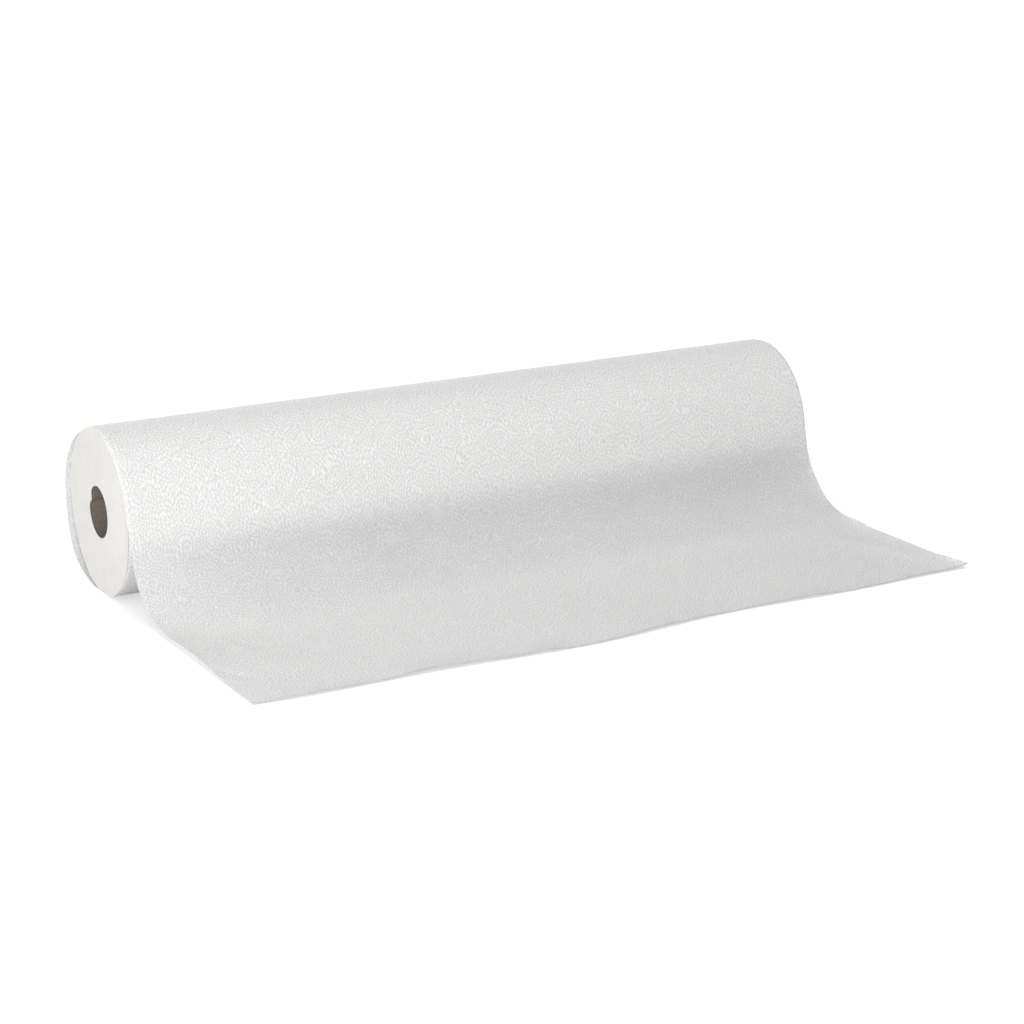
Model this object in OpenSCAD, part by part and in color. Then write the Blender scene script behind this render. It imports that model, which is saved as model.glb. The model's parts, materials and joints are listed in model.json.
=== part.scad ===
// A roll of exam table paper lying on a table with its free end pulled out in front.
// X runs along the roll, the free end lies toward -Y, and Z is up.
// The origin is on the table, in the middle of the flat spot that the soft roll rests on.

/* [Roll] */
// Width of the paper web, which is the length of the roll
web_w = 500; // [300:1:700]
// Diameter over the outermost turn
roll_d = 109.4; // [90:0.1:160]
// How far the soft roll has settled onto its flat spot
flat_depth = 1; // [0.6:0.1:2]
// Thickness of the two-ply sheet, as thick as its embossing makes it stand
sheet_t = 0.5; // [0.3:0.05:0.8]

/* [Core] */
// Bore of the cardboard core, which a holder's rod goes through
core_bore_d = 37; // [25:0.5:50]
// Wall of the core
core_wall = 1.2; // [0.8:0.1:3]
// Glue gap between the core and the first turn
core_gap = 0.1; // [0.05:0.05:0.3]
// How far each end of the core lies inside the paper's end
core_inset = 0.8; // [0:0.1:5]

/* [Loose turns] */
// How far the outermost turn bulges out behind the roll
back_slack = 11.3; // [8:0.1:20]
// Angle past the top at which the outermost turn leaves the roll at the back
back_leave = 27; // [15:1:45]
// How far the second turn stands off the roll, low at the back
second_slack = 4.5; // [1:0.1:6]
// Angle above the roll's axis at which the sheet leaves the roll in front
front_leave = 10; // [0:1:45]

/* [Free end] */
// Distance over which the sheet comes down, from the roll's front to the table
fall_run = 76; // [60:0.5:140]
// Length of sheet lying flat past the place where it comes down, in the middle of its width
tail_flat = 117.2; // [40:0.1:400]
// How much further the free edge reaches at the left end than at the right
edge_skew = 4; // [0:0.1:30]
// Height of the free edge's long wave
edge_wave = 4.2; // [0:0.1:6]
// Height of the free edge's short wave
edge_ripple = 2.5; // [0:0.1:4]

/* [Turns in the end faces] */
// Turns drawn in each end face, fewer and wider than the real ones
drawn_turns = 9; // [4:1:12]
// Depth of the line between two drawn turns
turn_line_depth = 0.4; // [0.2:0.05:1]
// Width of the line between two drawn turns
turn_line_w = 0.5; // [0.3:0.05:1]

/* [Hidden] */
$fn = 180;
paper_white = [0.93, 0.93, 0.92];
card_grey = [0.58, 0.54, 0.49];
// How deep a turn is sunk into the turn it lies against, so that the web is one solid
lap = 0.1;
// How much of the lying sheet is trimmed off level with the table, so that its underside is flat
trim = 0.05;
roll_r = roll_d / 2;
axis_z = roll_r - flat_depth;
wound_r = roll_r - sheet_t + lap;
mid_r = roll_r - sheet_t / 2;
mid_z = sheet_t / 2 - trim;
core_r = core_bore_d / 2 + core_wall;
core_len = web_w - 2 * core_inset;
touch_y = roll_r + fall_run;
bulge_y = roll_r + back_slack;
// Height of the widest place of the loose turn, a little below the axis
bulge_z = 0.87 * axis_z;
// Angle past the top at which the loose turn is back against the roll, under it
back_meet = 172;
// Lengths of the edge's two waves and the angle at which both start at mid width
wave_len = 480;
ripple_len = 190;
wave_start = -29;
// How far the web keeps its direction at each end of its curves, as shares of the roll's radius
fall_low_pull = 1.41;
fall_top_pull = 0.36;
hang_top_pull = 0.46;
hang_low_pull = 0.57;
tuck_top_pull = 0.77;
tuck_low_pull = 0.6;
// Angles past the top between which the second turn has come loose
second_from = 72;
second_to = 156;
curve_steps = 24;
cut_margin = 20;

// A point on a circle round the roll's axis, at an angle past the top toward the back
function on_roll(r, past_top) = [r * sin(past_top), axis_z + r * cos(past_top)];

// The direction in which the web runs there, down toward the back
function along_roll(past_top) = [cos(past_top), -sin(past_top)];

// The points of a cubic curve from a to d
function curve(a, b, c, d) = [
    for (i = [0 : curve_steps])
        let (t = i / curve_steps, s = 1 - t)
            s * s * s * a + 3 * s * s * t * b + 3 * s * t * t * c + t * t * t * d
];

// All points but the first, so that stretches join without a doubled point
function rest_of(points) = [for (i = [1 : len(points) - 1]) points[i]];

// The unit normal of a line of points at point i
function normal_at(points, i) =
    let (
        before = points[max(i - 1, 0)],
        after = points[min(i + 1, len(points) - 1)],
        run = after - before
    )
    [-run[1], run[0]] / norm(run);

// The outermost turn's middle line, from past the free edge over the roll and under it again
front_top = on_roll(mid_r, front_leave - 90);
front_dir = along_roll(front_leave - 90);
tail_end = [-(touch_y + tail_flat + cut_margin), mid_z];
fall = curve(
    [-touch_y, mid_z],
    [-touch_y + fall_low_pull * roll_r, mid_z],
    front_top - fall_top_pull * roll_r * front_dir,
    front_top
);
over_steps = 30;
over_angle = back_leave + 90 - front_leave;
over = [
    for (i = [0 : over_steps])
        on_roll(mid_r, front_leave - 90 + over_angle * i / over_steps)
];
widest = [bulge_y - sheet_t / 2, bulge_z];
hang = curve(
    on_roll(mid_r, back_leave),
    on_roll(mid_r, back_leave) + hang_top_pull * roll_r * along_roll(back_leave),
    widest + [0, hang_low_pull * roll_r],
    widest
);
tuck = curve(
    widest,
    widest - [0, tuck_top_pull * roll_r],
    on_roll(mid_r, back_meet) - tuck_low_pull * roll_r * along_roll(back_meet),
    on_roll(mid_r, back_meet)
);
outer_turn = concat([tail_end], fall, rest_of(over), rest_of(hang), rest_of(tuck));

// The second turn, which starts and ends sunk in the roll and stands off it in between
second_turn = [
    for (i = [0 : curve_steps])
        let (
            part = i / curve_steps,
            swell = pow(sin(180 * part), 2)
        )
        on_roll(
            wound_r - sheet_t + swell * (second_slack + 1.5 * sheet_t),
            second_from + part * (second_to - second_from)
        )
];

// How far from the axis the free edge lies, at a place along the roll
function edge_reach(x) =
    touch_y + tail_flat
    - edge_skew * x / web_w
    - edge_wave * sin(360 * x / wave_len + wave_start)
    - edge_ripple * sin(360 * x / ripple_len + wave_start);

// A strip of the sheet's thickness along a line of points
module strip(points) {
    last = len(points) - 1;
    one_side = [for (i = [0 : last]) points[i] + sheet_t / 2 * normal_at(points, i)];
    other_side = [for (i = [last : -1 : 0]) points[i] - sheet_t / 2 * normal_at(points, i)];
    polygon(concat(one_side, other_side));
}

// Turns an outline in y and z into a body along x, centred on the origin
module along_x(length) {
    rotate([90, 0, 90]) linear_extrude(length, center = true) children();
}

// A cylinder on the roll's axis
module round_roll(radius, length) {
    translate([0, 0, axis_z]) rotate([0, 90, 0])
        cylinder(r = radius, h = length, center = true);
}

// Everything below the table's top
module below_table() {
    depth = 2 * flat_depth;
    reach = touch_y + tail_flat + 4 * cut_margin;
    translate([-web_w, -reach, -depth]) cube([2 * web_w, 2 * reach, depth]);
}

// Everything past the free edge, seen from above
module past_free_edge() {
    edge_steps = 50;
    side = web_w / 2 + cut_margin;
    edge = [
        for (i = [0 : edge_steps])
            let (x = -side + 2 * side * i / edge_steps)
                [x, -edge_reach(x)]
    ];
    far = -(touch_y + tail_flat + 4 * cut_margin);
    translate([0, 0, -sheet_t])
        linear_extrude(3 * sheet_t) polygon(concat(edge, [[side, far], [-side, far]]));
}

// The spiral line between the drawn turns, as a flat band
module turn_spiral() {
    inner = core_r + core_gap + 2 * turn_line_w;
    outer = wound_r - 2 * turn_line_w - flat_depth;
    steps_per_turn = 24;
    steps = drawn_turns * steps_per_turn;
    spiral = [
        for (i = [0 : steps])
            let (
                r = inner + (outer - inner) * i / steps,
                angle = 360 * i / steps_per_turn
            )
            [r * cos(angle), r * sin(angle)]
    ];
    inside = [for (p = spiral) p * (1 - turn_line_w / 2 / norm(p))];
    outside = [for (i = [steps : -1 : 0]) spiral[i] * (1 + turn_line_w / 2 / norm(spiral[i]))];
    polygon(concat(inside, outside));
}

// The wound paper, with its loose turns and its free end
module paper_web() {
    color(paper_white) difference() {
        union() {
            round_roll(wound_r, web_w);
            along_x(web_w) strip(outer_turn);
            along_x(web_w) strip(second_turn);
        }
        below_table();
        round_roll(core_r + core_gap, web_w + cut_margin);
        past_free_edge();
        for (side = [0, 1])
            mirror([side, 0, 0])
                translate([web_w / 2, 0, axis_z])
                    along_x(2 * turn_line_depth) turn_spiral();
    }
}

// The cardboard tube that the web is wound on
module core_tube() {
    color(card_grey) difference() {
        round_roll(core_r, core_len);
        round_roll(core_bore_d / 2, core_len + cut_margin);
    }
}

paper_web();
core_tube();
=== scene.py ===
import json
import math

import bpy
import numpy as np
from mathutils import Matrix, Vector


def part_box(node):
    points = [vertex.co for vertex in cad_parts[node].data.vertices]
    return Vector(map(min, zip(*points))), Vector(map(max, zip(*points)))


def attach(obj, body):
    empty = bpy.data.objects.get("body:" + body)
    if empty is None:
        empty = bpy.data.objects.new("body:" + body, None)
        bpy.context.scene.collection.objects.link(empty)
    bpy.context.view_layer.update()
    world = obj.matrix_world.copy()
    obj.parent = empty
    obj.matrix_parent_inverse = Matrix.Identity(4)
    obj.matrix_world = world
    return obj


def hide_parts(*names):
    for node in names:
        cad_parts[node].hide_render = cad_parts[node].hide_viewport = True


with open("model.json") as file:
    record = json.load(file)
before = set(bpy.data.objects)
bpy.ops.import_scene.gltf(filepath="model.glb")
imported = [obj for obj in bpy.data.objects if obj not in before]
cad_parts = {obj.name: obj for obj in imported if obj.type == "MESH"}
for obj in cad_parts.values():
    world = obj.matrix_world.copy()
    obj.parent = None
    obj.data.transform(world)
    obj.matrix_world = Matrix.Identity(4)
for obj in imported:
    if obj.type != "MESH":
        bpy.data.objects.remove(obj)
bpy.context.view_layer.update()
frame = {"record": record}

# The core. It is a tube wound in a spiral from strips of grey-brown card, glued, and cut to the web's
# width. The paper is wound straight onto it, and its open bore is for a holder's rod. The cut that parted
# the roll has knocked in one spot of its left mouth.
MM = 0.001
core_low, core_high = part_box("core_tube")
AXIS_Z = (core_low.z + core_high.z) / 2
CORE_R = (core_high.z - core_low.z) / 2
CORE_LENGTH = core_high.x - core_low.x
core_bore = next(mount for mount in frame["record"]["mounts"] if mount["name"] == "core_bore")
BORE_R = core_bore["dims"]["r_mm"] * MM
CORE_SIDES = 128
# Rings of vertices near each mouth, by their distance from it
MOUTH_RINGS = (1.5 * MM, 3.5 * MM, 6 * MM, 10 * MM, 16 * MM, 26 * MM)
MOUTH_ROUNDING = 0.2 * MM
# Where the mouth is knocked in, as y and z from the axis
KNOCK_AT = (16 * MM, 7.5 * MM)
KNOCK_DEPTH = 3.6 * MM
KNOCK_WIDTH = 4.0 * MM
KNOCK_REACH = 16 * MM
MOUTH_PINCH = 0.05
PINCH_REACH = 30 * MM
CARD_BROWN = "#8A8076"
CARD_SEAM_BROWN = "#756B62"
CARD_PALE_FIBRE = "#AFA599"
# Sizes of the card's pattern, in mm
CARD_STRIP_W = 74.0
CARD_FIBRE = 1.6
CARD_FLECK = 0.5
# Half the seam's width, as a share of a strip's
CARD_SEAM = 0.012
CARD_RELIEF = 0.12 * MM


def start_from_nothing_selected():
    """Leaves edit mode and deselects every object, so that an operator acts only on what is added next."""
    if bpy.context.mode != "OBJECT":
        bpy.ops.object.mode_set(mode="OBJECT")
    bpy.ops.object.select_all(action="DESELECT")


def settle(name):
    """Names the object just made and applies its place, so that it sits at the origin."""
    piece = bpy.context.object
    piece.name = name
    piece.data.name = name
    bpy.ops.object.transform_apply(location=True, rotation=True, scale=True)
    return piece


def places_of(piece):
    """The places of a piece's vertices, a row for each."""
    places = np.empty(len(piece.data.vertices) * 3)
    piece.data.vertices.foreach_get("co", places)
    return places.reshape(-1, 3)


def move_to(piece, places):
    """Moves a piece's vertices to new places."""
    piece.data.vertices.foreach_set("co", np.ascontiguousarray(places, dtype=np.float32).ravel())
    piece.data.update()


def select_where(piece, wanted):
    """Selects the vertices that wanted is true for, and the edges and faces between them."""
    for kind in (piece.data.polygons, piece.data.edges, piece.data.vertices):
        kind.foreach_set("select", np.zeros(len(kind), dtype=bool))
    piece.data.vertices.foreach_set("select", np.ascontiguousarray(wanted, dtype=bool))
    bpy.context.tool_settings.mesh_select_mode = (True, False, False)
    bpy.ops.object.mode_set(mode="EDIT")


def apply_modifiers(piece):
    """Applies every modifier of a piece, in order."""
    bpy.context.view_layer.objects.active = piece
    for modifier in list(piece.modifiers):
        bpy.ops.object.modifier_apply(modifier=modifier.name)


def from_hex(colour):
    """A colour written as sRGB hex, as the linear values that a socket takes."""
    parts = [int(colour[i:i + 2], 16) / 255 for i in (1, 3, 5)]
    return (*(p / 12.92 if p <= 0.04045 else ((p + 0.055) / 1.055) ** 2.4 for p in parts), 1.0)


def add_node(tree, kind, inputs=None, **settings):
    """Adds a node with its settings. An input is a value, or the output of another node to link."""
    made = tree.nodes.new(kind)
    for name, value in settings.items():
        setattr(made, name, value)
    for name, value in (inputs or {}).items():
        if isinstance(value, bpy.types.NodeSocket):
            tree.links.new(value, made.inputs[name])
        else:
            made.inputs[name].default_value = value
    return made


def new_material(name):
    """A bare material and its node tree."""
    material = bpy.data.materials.new(name)
    material.use_nodes = True
    material.node_tree.nodes.clear()
    return material, material.node_tree


start_from_nothing_selected()
bpy.ops.mesh.primitive_cylinder_add(
    vertices=CORE_SIDES,
    radius=CORE_R,
    depth=CORE_LENGTH,
    end_fill_type="NOTHING",
    location=(0, 0, AXIS_Z),
    rotation=(0, math.pi / 2, 0),
)
card_core = settle("card_core")
bpy.ops.object.mode_set(mode="EDIT")
for side in (-1, 1):
    for distance in MOUTH_RINGS:
        bpy.ops.mesh.select_all(action="SELECT")
        ring_x = side * (CORE_LENGTH / 2 - distance)
        bpy.ops.mesh.bisect(plane_co=(ring_x, 0, AXIS_Z), plane_no=(1, 0, 0))
bpy.ops.object.mode_set(mode="OBJECT")
card_wall = card_core.modifiers.new("card_wall", "SOLIDIFY")
card_wall.thickness = CORE_R - BORE_R
card_wall.offset = -1
mouth_edge = card_core.modifiers.new("mouth_edge", "BEVEL")
mouth_edge.width = MOUTH_ROUNDING
mouth_edge.segments = 2
apply_modifiers(card_core)


def wear_mouth(places, share=1.0):
    """Draws the left mouth in a little and knocks in one spot of it, by a share for each place."""
    y, z = places[:, 1], places[:, 2] - AXIS_Z
    depth = places[:, 0] + CORE_LENGTH / 2
    pinch = MOUTH_PINCH * np.exp(-(depth / PINCH_REACH) ** 2)
    from_spot = np.hypot(y - KNOCK_AT[0], z - KNOCK_AT[1])
    knock = KNOCK_DEPTH * np.exp(-(from_spot / KNOCK_WIDTH) ** 2) * np.exp(-(depth / KNOCK_REACH) ** 2)
    inward = 1 - share * (pinch + knock / np.hypot(y, z))
    return np.stack([places[:, 0], y * inward, AXIS_Z + z * inward], axis=1)


move_to(card_core, wear_mouth(places_of(card_core)))
bpy.ops.object.shade_smooth_by_angle(angle=math.radians(40))

# Core board: grey-brown recycled card with the mill's fibre in it. It is matt and a little rough, flecked
# with paler fibres, and the edges of its wound strips leave a fine dark seam that runs round the bore.
core_board, tree = new_material("grey_recycled_core_board")
place = add_node(tree, "ShaderNodeTexCoord").outputs["Object"]
in_mm = add_node(tree, "ShaderNodeVectorMath", {0: place, "Scale": 1 / MM}, operation="SCALE").outputs[0]
from_axis = add_node(
    tree, "ShaderNodeVectorMath", {0: in_mm, 1: (0, 0, AXIS_Z / MM)}, operation="SUBTRACT"
).outputs[0]
apart = add_node(tree, "ShaderNodeSeparateXYZ", {0: from_axis})
angle = add_node(
    tree, "ShaderNodeMath", {0: apart.outputs["Z"], 1: apart.outputs["Y"]}, operation="ARCTAN2"
).outputs[0]
turns = add_node(tree, "ShaderNodeMath", {0: angle, 1: 1 / (2 * math.pi)}, operation="MULTIPLY").outputs[0]
strips = add_node(
    tree, "ShaderNodeMath", {0: apart.outputs["X"], 1: 1 / CARD_STRIP_W}, operation="MULTIPLY"
).outputs[0]
wound = add_node(tree, "ShaderNodeMath", {0: strips, 1: turns}, operation="ADD").outputs[0]
across_strip = add_node(tree, "ShaderNodeMath", {0: wound}, operation="FRACT").outputs[0]
off_seam = add_node(tree, "ShaderNodeMath", {0: across_strip, 1: 0.5}, operation="SUBTRACT").outputs[0]
from_seam = add_node(tree, "ShaderNodeMath", {0: off_seam}, operation="ABSOLUTE").outputs[0]
seam = add_node(
    tree,
    "ShaderNodeMapRange",
    {0: from_seam, "From Min": 0.0, "From Max": CARD_SEAM, "To Min": 1.0, "To Max": 0.0},
    interpolation_type="SMOOTHSTEP",
).outputs[0]
fibre = add_node(
    tree, "ShaderNodeTexNoise", {"Vector": in_mm, "Scale": 1 / CARD_FIBRE, "Detail": 5.0, "Roughness": 0.65}
).outputs["Fac"]
fleck = add_node(
    tree, "ShaderNodeTexNoise", {"Vector": in_mm, "Scale": 1 / CARD_FLECK, "Detail": 2.0}
).outputs["Fac"]
pale = add_node(
    tree,
    "ShaderNodeMapRange",
    {0: fleck, "From Min": 0.56, "From Max": 0.72},
    interpolation_type="SMOOTHSTEP",
).outputs[0]
board = add_node(
    tree,
    "ShaderNodeMix",
    {"Factor": fibre, 6: from_hex(CARD_SEAM_BROWN), 7: from_hex(CARD_BROWN)},
    data_type="RGBA",
).outputs[2]
flecked = add_node(
    tree, "ShaderNodeMix", {"Factor": pale, 6: board, 7: from_hex(CARD_PALE_FIBRE)}, data_type="RGBA"
).outputs[2]
seamed = add_node(
    tree, "ShaderNodeMix", {"Factor": seam, 6: flecked, 7: from_hex(CARD_SEAM_BROWN)}, data_type="RGBA"
).outputs[2]
relief = add_node(tree, "ShaderNodeMath", {0: fibre, 1: seam}, operation="SUBTRACT").outputs[0]
card_normal = add_node(
    tree, "ShaderNodeBump", {"Height": relief, "Strength": 1.0, "Distance": CARD_RELIEF}
).outputs["Normal"]
card_surface = add_node(
    tree,
    "ShaderNodeBsdfPrincipled",
    {"Base Color": seamed, "Roughness": 0.85, "Normal": card_normal, "Specular IOR Level": 0.3},
).outputs["BSDF"]
add_node(tree, "ShaderNodeOutputMaterial", {"Surface": card_surface})
card_core.data.materials.append(core_board)
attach(card_core, "root")
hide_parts("core_tube")

# The wound turns. A web of two-ply tissue is wound on the core under light tension, and all its turns are cut
# off square with one knife, so each end is a flat spiral of soft cut edges. The turns drawn are coarser than
# the real ones. The roll is soft enough to settle onto a small flat spot.
web_low, web_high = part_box("paper_web")
HALF_WEB = web_high.x
# Radius over the outermost turn, which lies on the wound turns with a hair of air between them
ROLL_R = 54.7 * MM
SHEET_T = 0.35 * MM
AIR = 0.1 * MM
WOUND_R = ROLL_R - SHEET_T - AIR
# The innermost turns lap over the core's mouth, and the hole behind this lip is as wide as the core
LIP_R = 17.7 * MM
LIP_DEPTH = 0.7 * MM
LIP_HOLD = 4 * MM
HOLE_R = CORE_R + AIR
DRAWN_TURNS = 45
STEPS_IN_TURN = 3
ROUND_STEPS = 144
TURN_PITCH = (WOUND_R - LIP_R) / DRAWN_TURNS
# Rows enough to go round the rim
PAST_RIM_TURNS = 3
LINE_DEPTH = 0.06 * MM
UNEVEN_TURNS = 0.12 * MM
RIM_ROUNDING = 1.1 * MM
RIM_DROP = 0.7 * MM
# Just short of a full turn, so that the two sides of the seam can be told apart until they are merged
FULL_TURN = 2 * math.pi - 1e-4
SEAM_MERGE = 0.02 * MM
# Places behind the axis between which the sheet under the roll begins to lift it
PRESSED_SHEET_FROM = 5 * MM
PRESSED_SHEET_TO = 10 * MM
TABLE_GAP = 0.02 * MM
# How close a vertex is to a plane that counts as lying on it
ON_PLANE = 0.1 * MM

start_from_nothing_selected()
bpy.ops.mesh.primitive_plane_add(size=1, rotation=(math.pi / 2, 0, 0))
section_height = WOUND_R - LIP_R + (PAST_RIM_TURNS + 1) * TURN_PITCH
bpy.context.object.scale = (2 * HALF_WEB, section_height, 1)
bpy.context.object.location = (0, 0, AXIS_Z + LIP_R - TURN_PITCH + section_height / 2)
wound_turns = settle("wound_turns")
bpy.ops.object.mode_set(mode="EDIT")
bpy.ops.mesh.select_all(action="SELECT")
bpy.ops.mesh.delete(type="ONLY_FACE")
for side in (-1, 1):
    for cuts in (DRAWN_TURNS + PAST_RIM_TURNS, STEPS_IN_TURN - 1):
        bpy.ops.object.mode_set(mode="OBJECT")
        select_where(wound_turns, side * places_of(wound_turns)[:, 0] > HALF_WEB - ON_PLANE)
        bpy.ops.mesh.subdivide(number_cuts=cuts)
bpy.ops.object.mode_set(mode="OBJECT")
select_where(wound_turns, places_of(wound_turns)[:, 2] < AXIS_Z + LIP_R - TURN_PITCH + ON_PLANE)
bpy.ops.mesh.subdivide(number_cuts=2)
bpy.ops.mesh.select_all(action="SELECT")
bpy.ops.mesh.spin(
    steps=ROUND_STEPS,
    angle=FULL_TURN,
    use_auto_merge=False,
    center=(0, 0, AXIS_Z),
    axis=(1, 0, 0),
)
bpy.ops.object.mode_set(mode="OBJECT")

turn_places = places_of(wound_turns)
spun_r = np.hypot(turn_places[:, 1], turn_places[:, 2] - AXIS_Z)
# Share of a turn from the top toward the front, the way in which the web gains on the roll's radius
swept = np.arctan2(-turn_places[:, 1], turn_places[:, 2] - AXIS_Z) / (2 * math.pi) % 1.0
swept[swept > 1 - 1e-9] = 0
ring = np.round((spun_r - LIP_R + TURN_PITCH) / (TURN_PITCH / STEPS_IN_TURN))
turn_count = ring / STEPS_IN_TURN + swept
at_end = np.abs(turn_places[:, 0]) > HALF_WEB - ON_PLANE
spiral_r = np.clip(spun_r + TURN_PITCH * swept, LIP_R, WOUND_R)
held = (spiral_r <= LIP_R) | (spiral_r >= WOUND_R)
line = np.where((ring % STEPS_IN_TURN == 0) & ~held, LINE_DEPTH, 0)
# Waves of height, share and phase by turn, which leave some turns a little proud of others
unevenness = 0.5 + sum(
    height * np.sin(rate * turn_count + phase)
    for height, rate, phase in ((0.22, 2.3, 0), (0.16, 5.9, 1), (0.12, 0.7, 2))
)
# The rows past the outer radius go round the rim and on along the roll
past_rim = np.clip(spun_r + TURN_PITCH * swept - WOUND_R, 0, None)
inward = np.where(held, past_rim, line + UNEVEN_TURNS * unevenness)
turned_x = np.sign(turn_places[:, 0]) * (HALF_WEB - np.where(at_end, inward, LIP_DEPTH))


def rim_drop(x):
    """How far the roll's soft rims have sunk in, at a place along it."""
    from_rim = HALF_WEB - np.abs(x)
    return RIM_DROP * np.exp(-(from_rim / RIM_ROUNDING) ** 2)


turned_r = np.where(at_end, spiral_r, HOLE_R)
turned_r = np.where(turned_r > WOUND_R - 1e-7, WOUND_R - rim_drop(turned_x), turned_r)
sweep_angle = 2 * math.pi * swept
turn_y = -turned_r * np.sin(sweep_angle)
turn_z = AXIS_Z + turned_r * np.cos(sweep_angle)
turned = np.stack([turned_x, turn_y, turn_z], axis=1)
turned = wear_mouth(turned, np.exp(-np.clip(turned_r - LIP_R, 0, None) / LIP_HOLD))
sheet_under = np.interp(turned[:, 1], [PRESSED_SHEET_FROM, PRESSED_SHEET_TO], [0, SHEET_T])
turned[:, 2] = np.maximum(turned[:, 2], sheet_under + TABLE_GAP)
move_to(wound_turns, turned)
turn_attribute = wound_turns.data.attributes.new("turn", "FLOAT", "POINT")
turn_attribute.data.foreach_set("value", turn_count.astype(np.float32))


def lay_pattern(piece, along, run):
    """Gives a piece a UV map in metres, from each vertex's place along the roll and along the web."""
    layer = piece.data.uv_layers.get("web") or piece.data.uv_layers.new(name="web")
    corners = np.empty(len(piece.data.loops), dtype=np.int32)
    piece.data.loops.foreach_get("vertex_index", corners)
    layer.data.foreach_set("uv", np.stack([along[corners], run[corners]], axis=1).astype(np.float32).ravel())
    piece.data.uv_layers.active = layer


lay_pattern(wound_turns, turned[:, 0], sweep_angle * WOUND_R)
facing = np.empty(len(wound_turns.data.polygons) * 3)
wound_turns.data.polygons.foreach_get("normal", facing)
is_end = np.abs(facing.reshape(-1, 3)[:, 0]) > 0.5
wound_turns.data.polygons.foreach_set("material_index", is_end.astype(np.int32))
bpy.ops.object.mode_set(mode="EDIT")
bpy.ops.mesh.select_all(action="SELECT")
bpy.ops.mesh.remove_doubles(threshold=SEAM_MERGE)
bpy.ops.mesh.normals_make_consistent(inside=False)
bpy.ops.object.mode_set(mode="OBJECT")
bpy.ops.object.shade_smooth_by_angle(angle=math.radians(50))

# Embossed tissue: bleached two-ply crepe, pressed between steel rolls into rings of small points, with a
# flat spot in the middle of some rings. It is matt white, and its colour is painted darker between the points
# as painted shade and lighter on their tops as a painted highlight. Light goes through a sheet that has
# nothing behind it, so that sheet looks greyer than the same sheet on the roll, and its far side glows a
# little.
# Painted highlight on the points' tops and painted shade between them
TISSUE_POINT_HIGHLIGHT = "#F6F6F5"
TISSUE_VALLEY_SHADE = "#DDDCDC"
TISSUE_THIN_TINT = "#FDFDFE"
TISSUE_GLOW = "#F4F4F4"
THROUGH_SHARE = 0.29
# Sizes of the embossing, in mm: the pitch of its rings and of the points in a ring, the distance between the
# middles of two sets of rings, a flat spot's radius and soft edge, and how far and over what the rings stray
EMBOSS_RING = 2.0
EMBOSS_POINT = 2.0
EMBOSS_CELL = 12.0
EMBOSS_SPOT_R = 2.0
EMBOSS_SPOT_FADE = 0.9
EMBOSS_STRAY = 5.0
EMBOSS_STRAY_OVER = 14.0
EMBOSS_JITTER = 2.6
EMBOSS_JITTER_OVER = 5.0
# How much longer the pattern is along the web than across it, as the web is stretched when it is wound
EMBOSS_STRETCH = 1.5
# Each ring starts further round than the one inside it, by this angle in radians
RING_TURN = 2.4
# How hard the points are pressed, as a share of the height: the least, and what an uneven roll adds
LEAST_PRESS = 0.13
UNEVEN_PRESS = 0.24
UNEVEN_OVER = 4.5
EMBOSS_HEIGHT = 0.30 * MM
# Turns wound one on another press each other's points flatter
WOUND_EMBOSS_HEIGHT = 0.12 * MM
CREPE_PITCH = 1.5
CREPE_SHARE = 0.9


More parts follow.
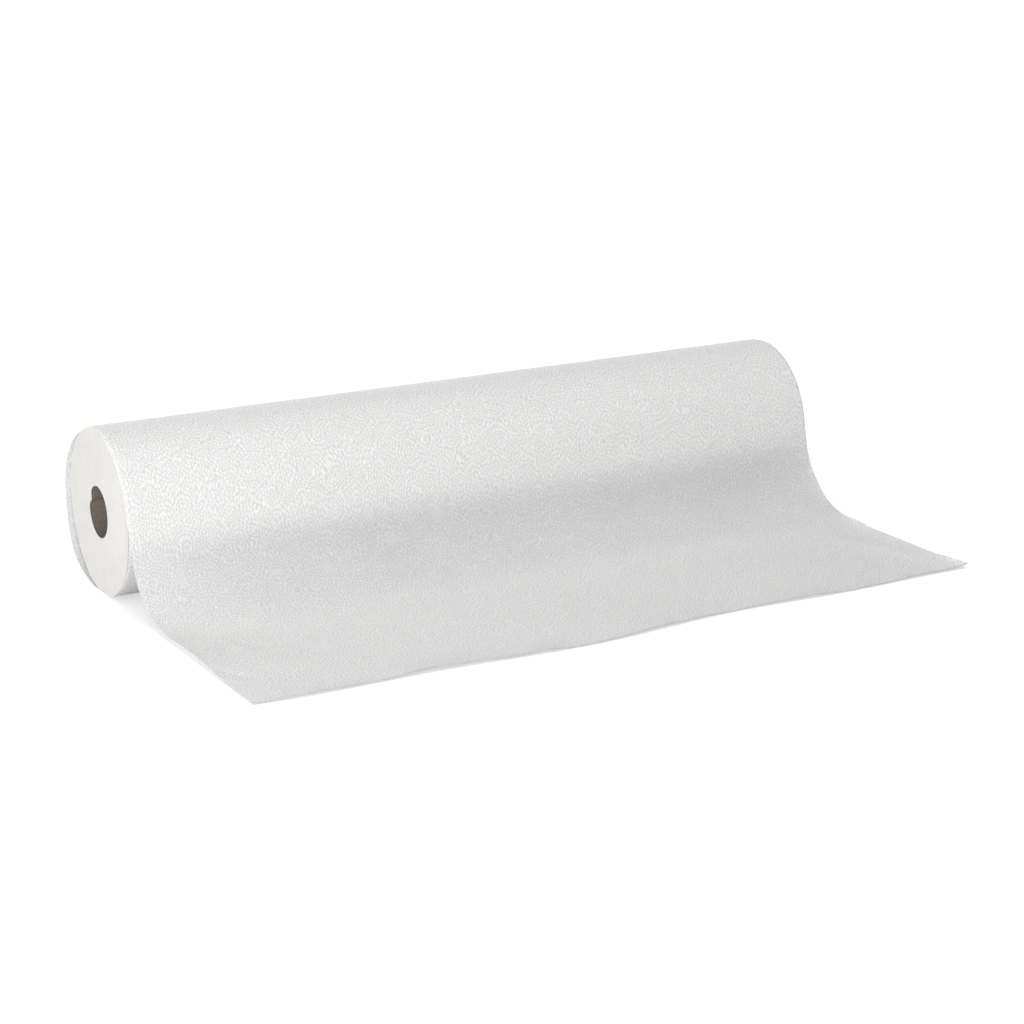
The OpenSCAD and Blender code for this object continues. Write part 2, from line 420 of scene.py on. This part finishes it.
def make_embossed_tissue(name, emboss_height):
    """The web's material, on its own UV map. The attribute "alone" says how little backs the sheet, and it
    also carries painted light near the roll's open end and painted shade along the torn edge.
    """
    material, tree = new_material(name)
    web = add_node(tree, "ShaderNodeUVMap", uv_map="web").outputs[0]
    in_mm = add_node(tree, "ShaderNodeVectorMath", {0: web, "Scale": 1 / MM}, operation="SCALE").outputs[0]
    squeezed = add_node(
        tree, "ShaderNodeVectorMath", {0: in_mm, 1: (1, 1 / EMBOSS_STRETCH, 1)}, operation="MULTIPLY"
    ).outputs[0]
    drift = add_node(
        tree, "ShaderNodeTexNoise", {"Vector": in_mm, "Scale": 1 / EMBOSS_STRAY_OVER, "Detail": 0.0}
    ).outputs["Color"]
    drifted = add_node(
        tree,
        "ShaderNodeVectorMath",
        {0: drift, 1: (EMBOSS_STRAY, EMBOSS_STRAY, 0), 2: squeezed},
        operation="MULTIPLY_ADD",
    ).outputs[0]
    jitter = add_node(
        tree, "ShaderNodeTexNoise", {"Vector": in_mm, "Scale": 1 / EMBOSS_JITTER_OVER, "Detail": 0.0}
    ).outputs["Color"]
    stray = add_node(
        tree,
        "ShaderNodeVectorMath",
        {0: jitter, 1: (EMBOSS_JITTER, EMBOSS_JITTER, 0), 2: drifted},
        operation="MULTIPLY_ADD",
    ).outputs[0]
    cell = add_node(
        tree,
        "ShaderNodeTexVoronoi",
        {"Vector": stray, "Scale": 1 / EMBOSS_CELL, "Randomness": 1.0},
        voronoi_dimensions="2D",
    )
    from_middle = add_node(
        tree, "ShaderNodeVectorMath", {0: stray, 1: cell.outputs["Position"]}, operation="SUBTRACT"
    ).outputs[0]
    distance = add_node(tree, "ShaderNodeVectorMath", {0: from_middle}, operation="LENGTH").outputs["Value"]
    offset = add_node(tree, "ShaderNodeSeparateXYZ", {0: from_middle})
    angle = add_node(
        tree, "ShaderNodeMath", {0: offset.outputs["Y"], 1: offset.outputs["X"]}, operation="ARCTAN2"
    ).outputs[0]
    # The rings are counted from the middle, and each has as many points as fit round it
    rings = add_node(
        tree, "ShaderNodeMath", {0: distance, 1: 1 / EMBOSS_RING}, operation="MULTIPLY"
    ).outputs[0]
    ring = add_node(tree, "ShaderNodeMath", {0: rings}, operation="FLOOR").outputs[0]
    ring_middle = add_node(tree, "ShaderNodeMath", {0: ring, 1: 0.5}, operation="ADD").outputs[0]
    fitting = add_node(
        tree,
        "ShaderNodeMath",
        {0: ring_middle, 1: 2 * math.pi * EMBOSS_RING / EMBOSS_POINT},
        operation="MULTIPLY",
    ).outputs[0]
    points = add_node(tree, "ShaderNodeMath", {0: fitting}, operation="ROUND").outputs[0]
    ring_start = add_node(tree, "ShaderNodeMath", {0: ring, 1: RING_TURN}, operation="MULTIPLY").outputs[0]
    along_ring = add_node(
        tree, "ShaderNodeMath", {0: angle, 1: points, 2: ring_start}, operation="MULTIPLY_ADD"
    ).outputs[0]
    round_ring = add_node(tree, "ShaderNodeMath", {0: along_ring}, operation="COSINE").outputs[0]
    off_ring = add_node(tree, "ShaderNodeMath", {0: rings, 1: ring_middle}, operation="SUBTRACT").outputs[0]
    over_ring = add_node(
        tree, "ShaderNodeMath", {0: off_ring, 1: 2 * math.pi}, operation="MULTIPLY"
    ).outputs[0]
    across_ring = add_node(tree, "ShaderNodeMath", {0: over_ring}, operation="COSINE").outputs[0]
    point = add_node(tree, "ShaderNodeMath", {0: round_ring, 1: across_ring}, operation="ADD").outputs[0]
    # Only some cells have a flat spot in the middle
    lot = add_node(tree, "ShaderNodeSeparateColor", {0: cell.outputs["Color"]}).outputs[0]
    spot_r = add_node(
        tree, "ShaderNodeMapRange", {0: lot, "From Min": 0.7, "From Max": 0.95, "To Max": EMBOSS_SPOT_R}
    ).outputs[0]
    past_spot = add_node(tree, "ShaderNodeMath", {0: distance, 1: spot_r}, operation="SUBTRACT").outputs[0]
    outside_spot = add_node(
        tree,
        "ShaderNodeMapRange",
        {0: past_spot, "From Min": -0.1, "From Max": EMBOSS_SPOT_FADE},
        interpolation_type="SMOOTHSTEP",
    ).outputs[0]
    uneven = add_node(
        tree, "ShaderNodeTexNoise", {"Vector": in_mm, "Scale": 1 / UNEVEN_OVER, "Detail": 1.0}
    ).outputs["Fac"]
    press = add_node(
        tree, "ShaderNodeMath", {0: uneven, 1: UNEVEN_PRESS, 2: LEAST_PRESS}, operation="MULTIPLY_ADD"
    ).outputs[0]
    spot_press = add_node(
        tree, "ShaderNodeMath", {0: press, 1: outside_spot}, operation="MULTIPLY"
    ).outputs[0]
    pressed = add_node(
        tree, "ShaderNodeMath", {0: point, 1: spot_press, 2: 0.5}, operation="MULTIPLY_ADD"
    ).outputs[0]
    crepe = add_node(
        tree, "ShaderNodeTexNoise", {"Vector": in_mm, "Scale": 1 / CREPE_PITCH, "Detail": 2.0}
    ).outputs["Fac"]
    height = add_node(
        tree, "ShaderNodeMath", {0: crepe, 1: CREPE_SHARE, 2: pressed}, operation="MULTIPLY_ADD"
    ).outputs[0]
    normal = add_node(
        tree, "ShaderNodeBump", {"Height": height, "Strength": 1.0, "Distance": emboss_height}
    ).outputs["Normal"]
    alone = add_node(tree, "ShaderNodeAttribute", attribute_name="alone").outputs["Fac"]
    # The colour goes from painted shade between the points to a painted highlight on them, by their height
    white = add_node(
        tree,
        "ShaderNodeMix",
        {"Factor": pressed, 6: from_hex(TISSUE_VALLEY_SHADE), 7: from_hex(TISSUE_POINT_HIGHLIGHT)},
        data_type="RGBA",
    ).outputs[2]
    colour = add_node(
        tree,
        "ShaderNodeMix",
        {"Factor": alone, 6: white, 7: from_hex(TISSUE_THIN_TINT)},
        data_type="RGBA",
        blend_type="MULTIPLY",
    ).outputs[2]
    face = add_node(
        tree,
        "ShaderNodeBsdfPrincipled",
        {"Base Color": colour, "Roughness": 0.9, "Normal": normal, "Specular IOR Level": 0.2},
    ).outputs[0]
    glow = add_node(
        tree, "ShaderNodeBsdfTranslucent", {"Color": from_hex(TISSUE_GLOW), "Normal": normal}
    ).outputs[0]
    through = add_node(tree, "ShaderNodeMath", {0: alone, 1: THROUGH_SHARE}, operation="MULTIPLY").outputs[0]
    tissue = add_node(tree, "ShaderNodeMixShader", {0: through, 1: face, 2: glow}).outputs[0]
    add_node(tree, "ShaderNodeOutputMaterial", {"Surface": tissue})
    return material


embossed_tissue = make_embossed_tissue("embossed_two_ply_tissue", EMBOSS_HEIGHT)
wound_tissue = make_embossed_tissue("wound_two_ply_tissue", WOUND_EMBOSS_HEIGHT)

# Cut tissue edges: hundreds of soft edges side by side, creamier than the sheet's face because light goes in
# between them. The knife leaves them a little furry, with faint rings where a turn was wound tighter.
CUT_CREAM = "#E6E5E2"
CUT_SHADE = "#E0DEDA"
# Sizes of the fuzz and of the mottling, in mm
FUZZ = 0.7
MOTTLE = 14
CUT_RELIEF = 0.15 * MM
cut_edges, tree = new_material("knife_cut_tissue_edges")
turn_number = add_node(tree, "ShaderNodeAttribute", attribute_name="turn").outputs["Fac"]
ring_noise = add_node(
    tree,
    "ShaderNodeTexNoise",
    {"W": turn_number, "Scale": 1.7, "Detail": 3.0},
    noise_dimensions="1D",
).outputs["Fac"]
place = add_node(tree, "ShaderNodeTexCoord").outputs["Object"]
in_mm = add_node(tree, "ShaderNodeVectorMath", {0: place, "Scale": 1 / MM}, operation="SCALE").outputs[0]
fuzz = add_node(
    tree, "ShaderNodeTexNoise", {"Vector": in_mm, "Scale": 1 / FUZZ, "Detail": 4.0}
).outputs["Fac"]
mottle = add_node(
    tree, "ShaderNodeTexNoise", {"Vector": in_mm, "Scale": 1 / MOTTLE, "Detail": 2.0}
).outputs["Fac"]
tone = add_node(tree, "ShaderNodeMath", {0: ring_noise, 1: mottle}, operation="MULTIPLY").outputs[0]
creamy = add_node(tree, "ShaderNodeMapRange", {0: tone, "From Min": 0.1, "From Max": 0.4}).outputs[0]
cream = add_node(
    tree,
    "ShaderNodeMix",
    {"Factor": creamy, 6: from_hex(CUT_SHADE), 7: from_hex(CUT_CREAM)},
    data_type="RGBA",
).outputs[2]
ends_relief = add_node(tree, "ShaderNodeMath", {0: fuzz, 1: ring_noise}, operation="ADD").outputs[0]
cut_normal = add_node(
    tree, "ShaderNodeBump", {"Height": ends_relief, "Strength": 0.6, "Distance": CUT_RELIEF}
).outputs["Normal"]
cut_surface = add_node(
    tree,
    "ShaderNodeBsdfPrincipled",
    {"Base Color": cream, "Roughness": 0.95, "Normal": cut_normal, "Specular IOR Level": 0.15},
).outputs["BSDF"]
add_node(tree, "ShaderNodeOutputMaterial", {"Surface": cut_surface})

wound_turns.data.materials.append(wound_tissue)
wound_turns.data.materials.append(cut_edges)
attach(wound_turns, "root")
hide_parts("paper_web")

# The second turn. It is the same web, one turn in. The outermost turn has let it go, so low at the back it
# stands off the roll in a thin lens of air, and lies on the turns below it everywhere else.
SECOND_SLACK = 3.6 * MM
# Angles past the top, in degrees, between which it is drawn
SECOND_FROM = 52.0
SECOND_TO = 166.0
# A wave of the slack along the roll
SLACK_WAVE = 0.2
SLACK_WAVE_OVER = 61 * MM
SECOND_ROWS = 80
SECOND_COLUMNS = 100
# How far its edges lie inside the roll's ends
SECOND_INSET = 0.3 * MM


def on_roll(radius, past_top):
    """Points round the roll's axis, as y and z, at angles in degrees past the top toward the back."""
    angle = np.radians(past_top)
    return np.stack([radius * np.sin(angle), AXIS_Z + radius * np.cos(angle)], axis=-1)


def tissue_sheet(name, columns, rows, shape):
    """A sheet of tissue over a grid. Shape gives the places, the run along the web and how alone it is."""
    start_from_nothing_selected()
    bpy.ops.mesh.primitive_grid_add(x_subdivisions=columns, y_subdivisions=rows, size=1)
    piece = settle(name)
    share = places_of(piece)[:, :2] + 0.5
    places, run, alone = shape(share[:, 0], share[:, 1])
    move_to(piece, places)
    lay_pattern(piece, places[:, 0], run)
    attribute = piece.data.attributes.new("alone", "FLOAT", "POINT")
    attribute.data.foreach_set("value", alone.astype(np.float32))
    thickness = piece.modifiers.new("two_plies", "SOLIDIFY")
    thickness.thickness = SHEET_T
    thickness.offset = 0
    apply_modifiers(piece)
    bpy.ops.object.shade_smooth_by_angle(angle=math.radians(60))
    piece.data.materials.append(embossed_tissue)
    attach(piece, "root")
    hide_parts("paper_web")
    return piece


def second_turn_shape(across, along):
    """The second turn, from high at the back to under the roll."""
    x = (across - 0.5) * 2 * (HALF_WEB - SECOND_INSET)
    past_top = SECOND_FROM + along * (SECOND_TO - SECOND_FROM)
    # The lens is thickest a little below the middle
    swell = np.sin(np.pi * along ** 1.4) ** 2 * (1 + SLACK_WAVE * np.sin(x / SLACK_WAVE_OVER))
    radius = WOUND_R - SHEET_T + swell * (SECOND_SLACK + SHEET_T)
    yz = on_roll(radius, past_top)
    # It stays above the outermost turn, which lies under it on the table
    z = np.maximum(yz[:, 1], 1.6 * SHEET_T)
    alone = 0.5 * swell
    return np.stack([x, yz[:, 0], z], axis=1), radius * np.radians(past_top), alone


second_turn = tissue_sheet("second_turn", SECOND_COLUMNS, SECOND_ROWS, second_turn_shape)

# The outermost turn and the free end. One sheet comes up from under the roll, hangs slack behind it, goes
# over the top, leaves the front half way down, and sweeps out onto the table, where it was torn off by hand
# against a bar. Its edges are cut by the same knife as the roll's ends.
TAIL_FLAT = 117.2 * MM
FALL_RUN = 76 * MM
# Angle above the axis at which the sheet leaves the roll in front
FRONT_LEAVE = 10.0
# The torn edge's slant from end to end, and its two waves
EDGE_SKEW = 4 * MM
EDGE_WAVE = 4.2 * MM
EDGE_RIPPLE = 2.5 * MM
WAVE_LENGTH = 480 * MM
RIPPLE_LENGTH = 190 * MM
WAVE_START = math.radians(-29)
# Angles past the top at which it leaves the roll at the back and meets it again, and its furthest place
BACK_LEAVE = 27.0
BACK_MEET = 172.0
BULGE_Y = web_high.y
BULGE_Z = 0.87 * AXIS_Z
# How far it keeps its direction at each end of its curves
FALL_LOW_PULL = 1.41 * ROLL_R
FALL_TOP_PULL = 0.36 * ROLL_R
HANG_TOP_PULL = 0.46 * ROLL_R
HANG_LOW_PULL = 0.57 * ROLL_R
TUCK_TOP_PULL = 0.77 * ROLL_R
TUCK_LOW_PULL = 0.60 * ROLL_R
CURVE_STEPS = 200
SHEET_COLUMNS = 208
SHEET_ROWS = 222


def along_roll(past_top):
    """The direction in which the web runs there, down toward the back."""
    return np.array([math.cos(math.radians(past_top)), -math.sin(math.radians(past_top))])


def curve(a, b, c, d):
    """A cubic curve from a to d, without its first point."""
    t = np.linspace(0, 1, CURVE_STEPS + 1)[1:, None]
    return (1 - t) ** 3 * a + 3 * (1 - t) ** 2 * t * b + 3 * (1 - t) * t * t * c + t ** 3 * d


def edge_reach(x):
    """How far from the axis the torn edge lies, at a place along the roll."""
    wave = EDGE_WAVE * np.sin(2 * np.pi * x / WAVE_LENGTH + WAVE_START)
    ripple = EDGE_RIPPLE * np.sin(2 * np.pi * x / RIPPLE_LENGTH + WAVE_START)
    return ROLL_R + FALL_RUN + TAIL_FLAT - EDGE_SKEW * x / (2 * HALF_WEB) - wave - ripple


MID_R = ROLL_R - SHEET_T / 2
MID_Z = SHEET_T / 2
TOUCH_Y = ROLL_R + FALL_RUN
FURTHEST = edge_reach(np.linspace(-HALF_WEB, HALF_WEB, 200)).max()
front_top = on_roll(MID_R, FRONT_LEAVE - 90)
front_direction = along_roll(FRONT_LEAVE - 90)
widest = np.array([BULGE_Y - SHEET_T / 2, BULGE_Z])
back_top = on_roll(MID_R, BACK_LEAVE)
back_low = on_roll(MID_R, BACK_MEET)
middle_line = np.concatenate(
    [
        [[-FURTHEST, MID_Z], [-TOUCH_Y, MID_Z]],
        curve(
            np.array([-TOUCH_Y, MID_Z]),
            np.array([-TOUCH_Y + FALL_LOW_PULL, MID_Z]),
            front_top - FALL_TOP_PULL * front_direction,
            front_top,
        ),
        on_roll(MID_R, np.linspace(FRONT_LEAVE - 90, BACK_LEAVE, CURVE_STEPS + 1)[1:]),
        curve(
            back_top,
            back_top + HANG_TOP_PULL * along_roll(BACK_LEAVE),
            widest + np.array([0, HANG_LOW_PULL]),
            widest,
        ),
        curve(
            widest,
            widest - np.array([0, TUCK_TOP_PULL]),
            back_low - TUCK_LOW_PULL * along_roll(BACK_MEET),
            back_low,
        ),
    ]
)
line_run = np.concatenate([[0], np.cumsum(np.hypot(*np.diff(middle_line, axis=0).T))])
WEB_RUN = line_run[-1]
LEAVE_RUN = line_run[CURVE_STEPS + 1]
TOUCH_RUN = line_run[1]
TOP_RUN = LEAVE_RUN + MID_R * math.radians(90 - FRONT_LEAVE)
BACK_RUN = TOP_RUN + MID_R * math.radians(BACK_LEAVE)

# Creases and ridges: place along the roll, run from the free edge, half-length, width and height in mm, and
# the angle in degrees that each makes with the roll's axis
CREASES = (
    (-137, 253, 26, 2.2, 0.22, 92),
    (-33, 275, 12, 2.0, -0.15, 118),
    (-58, 204, 15, 1.8, 0.30, 90),
    (-66, 200, 13, 1.8, 0.22, 92),
    (60, 194, 11, 1.8, 0.28, 90),
    (52, 196, 12, 1.8, 0.18, 88),
    (-218, 101, 13, 5.0, 0.7, -66),
    (-210, 66, 24, 9.0, 0.5, -70),
    (-240, 58, 14, 4.0, -0.7, -58),
    (-222, 26, 14, 4.0, -0.5, -38),
    (228, 80, 42, 9.0, 0.9, -72),
)
# Places where the torn edge stands a little off the table: along the roll, half-width and height in mm
EDGE_LIFTS = ((-140, 20, 1.6), (-66, 15, 1.2), (20, 22, 0.6), (118, 26, 0.9), (196, 18, 0.5), (-214, 12, 0.8))
EDGE_LIFT_REACH = 16
# How far in from the torn edge the whole of it stands off the table
TORN_LIFT_REACH = 7
# Where the cut edges stand up, as height, run and half-length in mm: the left one curls over a wide strip,
# and the right one flares, and is turned up along its very edge
LEFT_CURLS = ((1.1, 211, 20), (2.9, 110, 44))
LEFT_REACH = 16
RIGHT_FLARES = ((0.5, 200, 30), (0.7, 70, 40))
RIGHT_REACH = 10
RIGHT_TURN_UPS = ((1.5, 192, 12), (2.2, 134, 13), (2.0, 22, 20))
TURN_UP_REACH = 2.2
# How far the two edges stand off wherever nothing holds them, and the frill that the knife leaves
LEFT_LOOSE = 0.4
RIGHT_LOOSE = 0.3
FRILL = 0.16
FRILL_REACH = 1.5
# Heights in mm of the slow waves of the sheet where it hangs, where it lies and where it is held on the roll
HANGING_WAVE = 0.5
HANGING_RIPPLE = 0.25
LYING_WAVE = 0.35
HELD_WAVE = 0.05
# Where along the roll its left end is finely pleated, and over what half-width
PLEATS_AT = -205
PLEATS_OVER = 60
# Runs over which the sheet comes to lie on the table and to be held on the roll, in front and at the back
LIES_DOWN = (TOUCH_RUN + 40 * MM, TOUCH_RUN - 20 * MM)
HELD_IN_FRONT = (LEAVE_RUN - 30 * MM, LEAVE_RUN)
HELD_AT_BACK = (BACK_RUN + 20 * MM, BACK_RUN)
# How much light goes through the sheet where it lies on the table, and between which runs it stands clear of
# the table and of the roll. The loose turn lets more through. Near the roll's open left end the sheet is made
# less grey, as painted light for the room's light from behind it, and a thin band along the torn edge is made
# greyer, as painted shade for the dark line at the edge, where its single ply also lets more light through.
ON_TABLE_SHARE = 0.1
LEAVES_TABLE = (TOUCH_RUN + 9 * MM, TOUCH_RUN + 67 * MM)
MEETS_ROLL = (LEAVE_RUN - 7 * MM, LEAVE_RUN - 35 * MM)
BACKLIT_SHARE = 1.7
BACK_OPENS = (BACK_RUN - 6 * MM, BACK_RUN + 10 * MM)
BACK_CLOSES = (WEB_RUN, WEB_RUN - 20 * MM)
# A thin band along the torn edge is made greyer, as painted shade for the dark line at the edge
TORN_SHADE_SHARE = 1.3
TORN_SHADE_WIDTH = 0.8 * MM
# Painted light: near the open end the sheet is made less grey, for the room's light from behind it
OPEN_END_LIGHT_SHARE = 0.75
OPEN_END_LIGHT_REACH = 38 * MM


def hump(distance, width):
    """A smooth hump, 1 in the middle."""
    return np.exp(-(distance / width) ** 2)


def step(value, start, end):
    """A smooth step from 0 at start to 1 at end."""
    share = np.clip((value - start) / (end - start), 0, 1)
    return share * share * (3 - 2 * share)


def stands_up(run_mm, places):
    """How far an edge stands up at a run from the free edge, from a table of height, run and half-length."""
    return sum(height * hump(run_mm - where, half_length) for height, where, half_length in places)


def outer_turn_shape(across, along):
    """The outermost turn and the free end, from the torn edge to under the roll."""
    # Columns are closer together at the two cut edges, and rows on the free end and the fall
    x = np.interp(across, [0, 0.03, 0.97, 1], [-HALF_WEB, -HALF_WEB + 4 * MM, HALF_WEB - 4 * MM, HALF_WEB])
    rows = np.interp(along, [0, 0.02, 0.62, 0.80, 1], [0, 3 * MM, LEAVE_RUN, BACK_RUN, WEB_RUN])
    to_edge = FURTHEST - edge_reach(x)
    run = rows + to_edge * (1 - np.clip(rows / TOUCH_RUN, 0, 1))
    y = np.interp(run, line_run, middle_line[:, 0])
    z = np.interp(run, line_run, middle_line[:, 1])
    ahead = np.stack([np.interp(run + MM, line_run, middle_line[:, i]) for i in (0, 1)])
    behind = np.stack([np.interp(run - MM, line_run, middle_line[:, i]) for i in (0, 1)])
    direction = ahead - behind
    direction /= np.hypot(*direction)
    # Away from the roll, and up on the table
    out_y, out_z = -direction[1], direction[0]

    # How far the sheet is lifted off that line, in mm
    x_mm, run_mm = x / MM, run / MM
    from_torn = run_mm - to_edge / MM
    from_left, from_right = (HALF_WEB + x) / MM, (HALF_WEB - x) / MM
    lift = np.zeros_like(x)
    for place, where, half_length, width, height, slant in CREASES:
        along_x, along_run = math.cos(math.radians(slant)), math.sin(math.radians(slant))
        lengthwise = (x_mm - place) * along_x + (run_mm - where) * along_run
        sideways = -(x_mm - place) * along_run + (run_mm - where) * along_x
        lift += height * hump(sideways, width) * hump(lengthwise, half_length)
    for place, half_width, height in EDGE_LIFTS:
        lift += height * hump(x_mm - place, half_width) * hump(from_torn, EDGE_LIFT_REACH)
    # The torn edge stands off the table a little all along
    off_table_line = 0.9 + 0.35 * np.sin(x_mm / 17 + 1) + 0.2 * np.sin(x_mm / 6.3)
    lift += off_table_line * np.exp(-from_torn / TORN_LIFT_REACH)
    on_table = step(run, *LIES_DOWN)
    on_the_roll = step(run, *HELD_IN_FRONT) * step(run, *HELD_AT_BACK)
    hanging = (1 - on_table) * (1 - on_the_roll)
    # Slow waves, with lengths in mm over 2 pi, and fine pleats on the roll near its left end
    lift += hanging * HANGING_WAVE * np.sin(x_mm / 37 + run_mm / 90) * np.sin(run_mm / 55 + 1)
    lift += hanging * HANGING_RIPPLE * np.sin(x_mm / 13 + 0.6 * np.sin(run_mm / 31)) * np.sin(run_mm / 40)
    lying = (1 + np.sin(x_mm / 29 + run_mm / 23)) * (1 + np.sin(run_mm / 19 - x_mm / 71)) / 2
    lift += on_table * LYING_WAVE * lying
    lift += on_the_roll * HELD_WAVE * (1 + np.sin(x_mm / 24 + 0.8 * np.sin(run_mm / 27)))
    pleats = hump(x_mm - PLEATS_AT, PLEATS_OVER) * (1 + np.sin(x_mm / 1.35 + 1.3 * np.sin(run_mm / 21)))
    lift += on_the_roll * HELD_WAVE * pleats
    # Both cut edges are loose where nothing holds them, with a fine frill from the knife
    loose = 1 - on_the_roll
    lift += np.exp(-from_left / LEFT_REACH) * (LEFT_LOOSE * loose + stands_up(run_mm, LEFT_CURLS))
    lift += np.exp(-from_right / RIGHT_REACH) * (RIGHT_LOOSE * loose + stands_up(run_mm, RIGHT_FLARES))
    lift += np.exp(-from_right / TURN_UP_REACH) * stands_up(run_mm, RIGHT_TURN_UPS)
    frill = np.sin(run_mm / 0.9 + 2 * np.sin(run_mm / 7)) * np.sin(run_mm / 3.1 + x_mm)
    lift += FRILL * np.exp(-np.minimum(from_left, from_right) / FRILL_REACH) * frill
    lift *= MM
    floor_gap = np.maximum(z - MID_Z + lift * out_z, 0)
    y = y + lift * out_y
    z = np.maximum(MID_Z + floor_gap, MID_Z)
    # Nothing goes into the roll, and the sheet follows its rounded rims
    radius = np.hypot(y, z - AXIS_Z)
    push = np.maximum(MID_R / radius, 1) - on_the_roll * rim_drop(x) / MID_R
    y, z = y * push, np.maximum(AXIS_Z + (z - AXIS_Z) * push, MID_Z)

    # How alone it is, with painted light near the open end and painted shade along the torn edge
    off_table = ON_TABLE_SHARE + (1 - ON_TABLE_SHARE) * step(run, *LEAVES_TABLE)
    # Painted light: less grey near the open left end, standing in for light that reaches behind the sheet
    painted_backlight = 1 - OPEN_END_LIGHT_SHARE * np.exp(-(x + HALF_WEB) / OPEN_END_LIGHT_REACH)
    front_alone = step(run, *MEETS_ROLL) * off_table * painted_backlight
    back_alone = step(run, *BACK_OPENS) * step(run, *BACK_CLOSES)
    # Painted shade: the torn edge is made greyer over a thin band
    torn = TORN_SHADE_SHARE * np.exp(-(run - to_edge) / TORN_SHADE_WIDTH)
    return np.stack([x, y, z], axis=1), run, front_alone + BACKLIT_SHARE * back_alone + torn


outer_turn = tissue_sheet("outer_turn", SHEET_COLUMNS, SHEET_ROWS, outer_turn_shape)

# The studio. A white table top runs out of view, with soft lights low at the left, overhead and all round,
# and a pale room. The camera sees the table brighter than it lights the roll, so that it fades to white.
TABLE_GREY = "#E4E4E4"
NEAR_GLOW = 0.43
FAR_GLOW = 0.85
NEAR_REACH = 0.5
FAR_REACH = 1.3
TABLE_SIZE = 12.0
start_from_nothing_selected()
bpy.ops.mesh.primitive_plane_add(size=TABLE_SIZE)
table = settle("table_top")
table_paint, tree = new_material("white_table_top")
is_seen = add_node(tree, "ShaderNodeLightPath")
seen = add_node(
    tree,
    "ShaderNodeMath",
    {0: is_seen.outputs["Is Camera Ray"], 1: is_seen.outputs["Is Glossy Ray"]},
    operation="MAXIMUM",
)
seen = add_node(
    tree,
    "ShaderNodeMath",
    {0: seen.outputs[0], 1: is_seen.outputs["Is Transmission Ray"]},
    operation="MAXIMUM",
)
matt = add_node(tree, "ShaderNodeBsdfDiffuse", {"Color": from_hex(TABLE_GREY)})
place = add_node(tree, "ShaderNodeTexCoord").outputs["Object"]
away = add_node(tree, "ShaderNodeVectorMath", {0: place}, operation="LENGTH").outputs["Value"]
brightness = add_node(
    tree,
    "ShaderNodeMapRange",
    {0: away, "From Min": NEAR_REACH, "From Max": FAR_REACH, "To Min": NEAR_GLOW, "To Max": FAR_GLOW},
    interpolation_type="SMOOTHSTEP",
).outputs[0]
seen_brightness = add_node(
    tree, "ShaderNodeMath", {0: seen.outputs[0], 1: brightness}, operation="MULTIPLY"
).outputs[0]
glow = add_node(tree, "ShaderNodeEmission", {"Strength": seen_brightness})
lit = add_node(tree, "ShaderNodeAddShader", {0: matt.outputs[0], 1: glow.outputs[0]})
add_node(tree, "ShaderNodeOutputMaterial", {"Surface": lit.outputs[0]})
table.data.materials.append(table_paint)

ROOM_LIGHT = 0.388
room = bpy.data.worlds.new("pale_room")
room.use_nodes = True
room.node_tree.nodes.clear()
tree = room.node_tree
room_path = add_node(tree, "ShaderNodeLightPath")
room_strength = add_node(
    tree,
    "ShaderNodeMapRange",
    {0: room_path.outputs["Is Camera Ray"], "To Min": ROOM_LIGHT, "To Max": 1.0},
)
backdrop = add_node(tree, "ShaderNodeBackground", {"Strength": room_strength.outputs[0]})
add_node(tree, "ShaderNodeOutputWorld", {"Surface": backdrop.outputs[0]})
bpy.context.scene.world = room


def soft_light(name, place, aim, width, height, power):
    """A large rectangular soft light that faces aim."""
    light = bpy.data.lights.new(name, "AREA")
    light.shape = "RECTANGLE"
    light.size = width
    light.size_y = height
    light.energy = power
    lamp = bpy.data.objects.new(name, light)
    bpy.context.scene.collection.objects.link(lamp)
    lamp.location = place
    lamp.rotation_euler = (Vector(aim) - Vector(place)).to_track_quat("-Z", "Y").to_euler()


SHEET_FRONT = (0, -0.05, 0.03)
LOOSE_TURN = (0, 0.06, 0.05)
soft_light("near_left_softbox", (-1.0, -0.9, 0.15), SHEET_FRONT, 0.7, 0.6, 11.7)
soft_light("overhead_softbox", (0, 0, 2.2), SHEET_FRONT, 1.6, 1.6, 18.3)
soft_light("front_fill", (0.1, -2.2, 0.3), SHEET_FRONT, 1.6, 0.5, 4.4)
soft_light("right_fill", (1.79, -0.65, 1.1), SHEET_FRONT, 1.2, 1.0, 3.6)
soft_light("back_left_softbox", (-1.727, 0.805, 1.1), SHEET_FRONT, 1.2, 1.0, 8.0)
soft_light("low_back_softbox", (0.2, 2.2, 0.4), LOOSE_TURN, 1.6, 0.7, 30.0)

# The camera stands in front at the left, a little above the roll, as the photograph was taken.
EYE = Vector((-0.75576, -1.53764, 0.48635))
YAW = math.radians(27.520)
PITCH = math.radians(15.340)
TILT = math.radians(-1.172)
camera_data = bpy.data.cameras.new("camera")
camera_data.sensor_width = 36.0
camera_data.lens = 91.80
camera_data.clip_end = 30.0
camera = bpy.data.objects.new("camera", camera_data)
bpy.context.scene.collection.objects.link(camera)
gaze = Vector((math.sin(YAW) * math.cos(PITCH), math.cos(YAW) * math.cos(PITCH), -math.sin(PITCH)))
level = Vector((math.cos(YAW), -math.sin(YAW), 0.0))
upward = level.cross(gaze)
right = level * math.cos(TILT) + upward * math.sin(TILT)
above = upward * math.cos(TILT) - level * math.sin(TILT)
camera.matrix_world = Matrix.Translation(EYE) @ Matrix((right, above, -gaze)).transposed().to_4x4()
bpy.context.scene.camera = camera
bpy.context.scene.view_settings.view_transform = "Standard"
